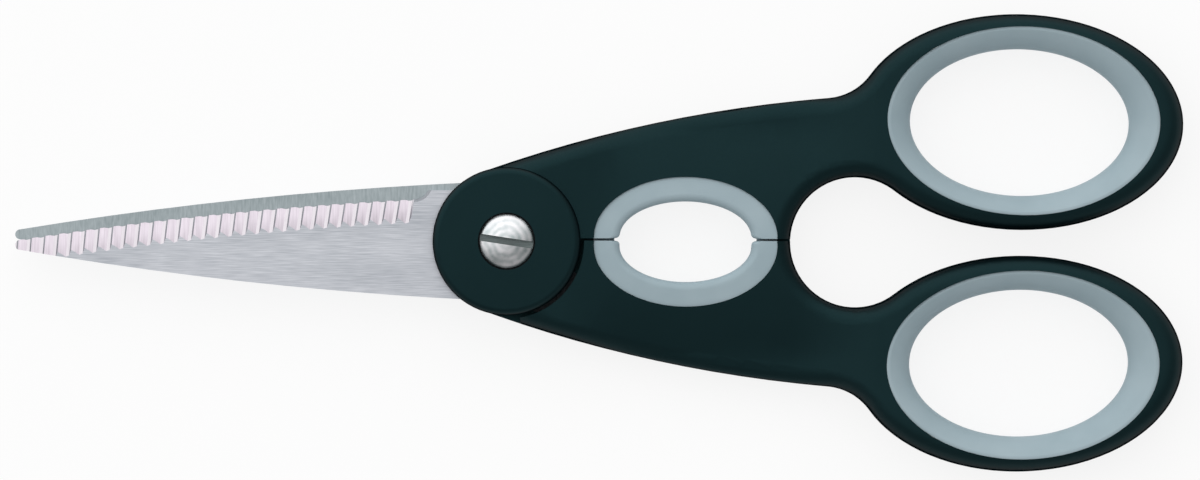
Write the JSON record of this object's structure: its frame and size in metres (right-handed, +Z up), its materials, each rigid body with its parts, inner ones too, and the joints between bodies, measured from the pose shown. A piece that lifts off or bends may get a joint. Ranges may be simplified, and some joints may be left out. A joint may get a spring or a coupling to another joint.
{
  "type": "kitchen shears",
  "caption": "Kitchen shears: a fluted and a plain steel blade crossing at a slotted screw, black handles with soft grey finger loops and an oval cap grip.",
  "frame": {"origin": "on the pivot axis at table level, in the middle of the rear boss's flat face", "axes": "+X along the closed shears towards the finger loops, +Y across the handles towards the front blade's handle, +Z up the pivot axis towards the screw head"},
  "size_m": [0.1998, 0.0782, 0.0112],
  "materials": {
    "blade_steel": "finely brushed along the blade",
    "handle_black": "satin moulded",
    "soft_grey": "matt soft moulded",
    "plated_steel": "zinc plated, lightly scuffed"
  },
  "bodies": {
    "rear_half": {"rear_blade": "blade_steel", "lower_handle": "handle_black", "lower_loop_liner": "soft_grey", "lower_grip_pad": "soft_grey", "pivot_screw": "plated_steel", "spring_washer": "plated_steel", "pivot_nut": "plated_steel"},
    "front_half": {"front_blade": "blade_steel", "upper_handle": "handle_black", "upper_loop_liner": "soft_grey", "upper_grip_pad": "soft_grey"}
  },
  "joints": [
    {"name": "pivot", "type": "hinge", "parent": "rear_half", "child": "front_half", "pos_m": [0, 0, 0.0055], "axis": [0, 0, 1], "range_deg": [0, 50]}
  ]
}
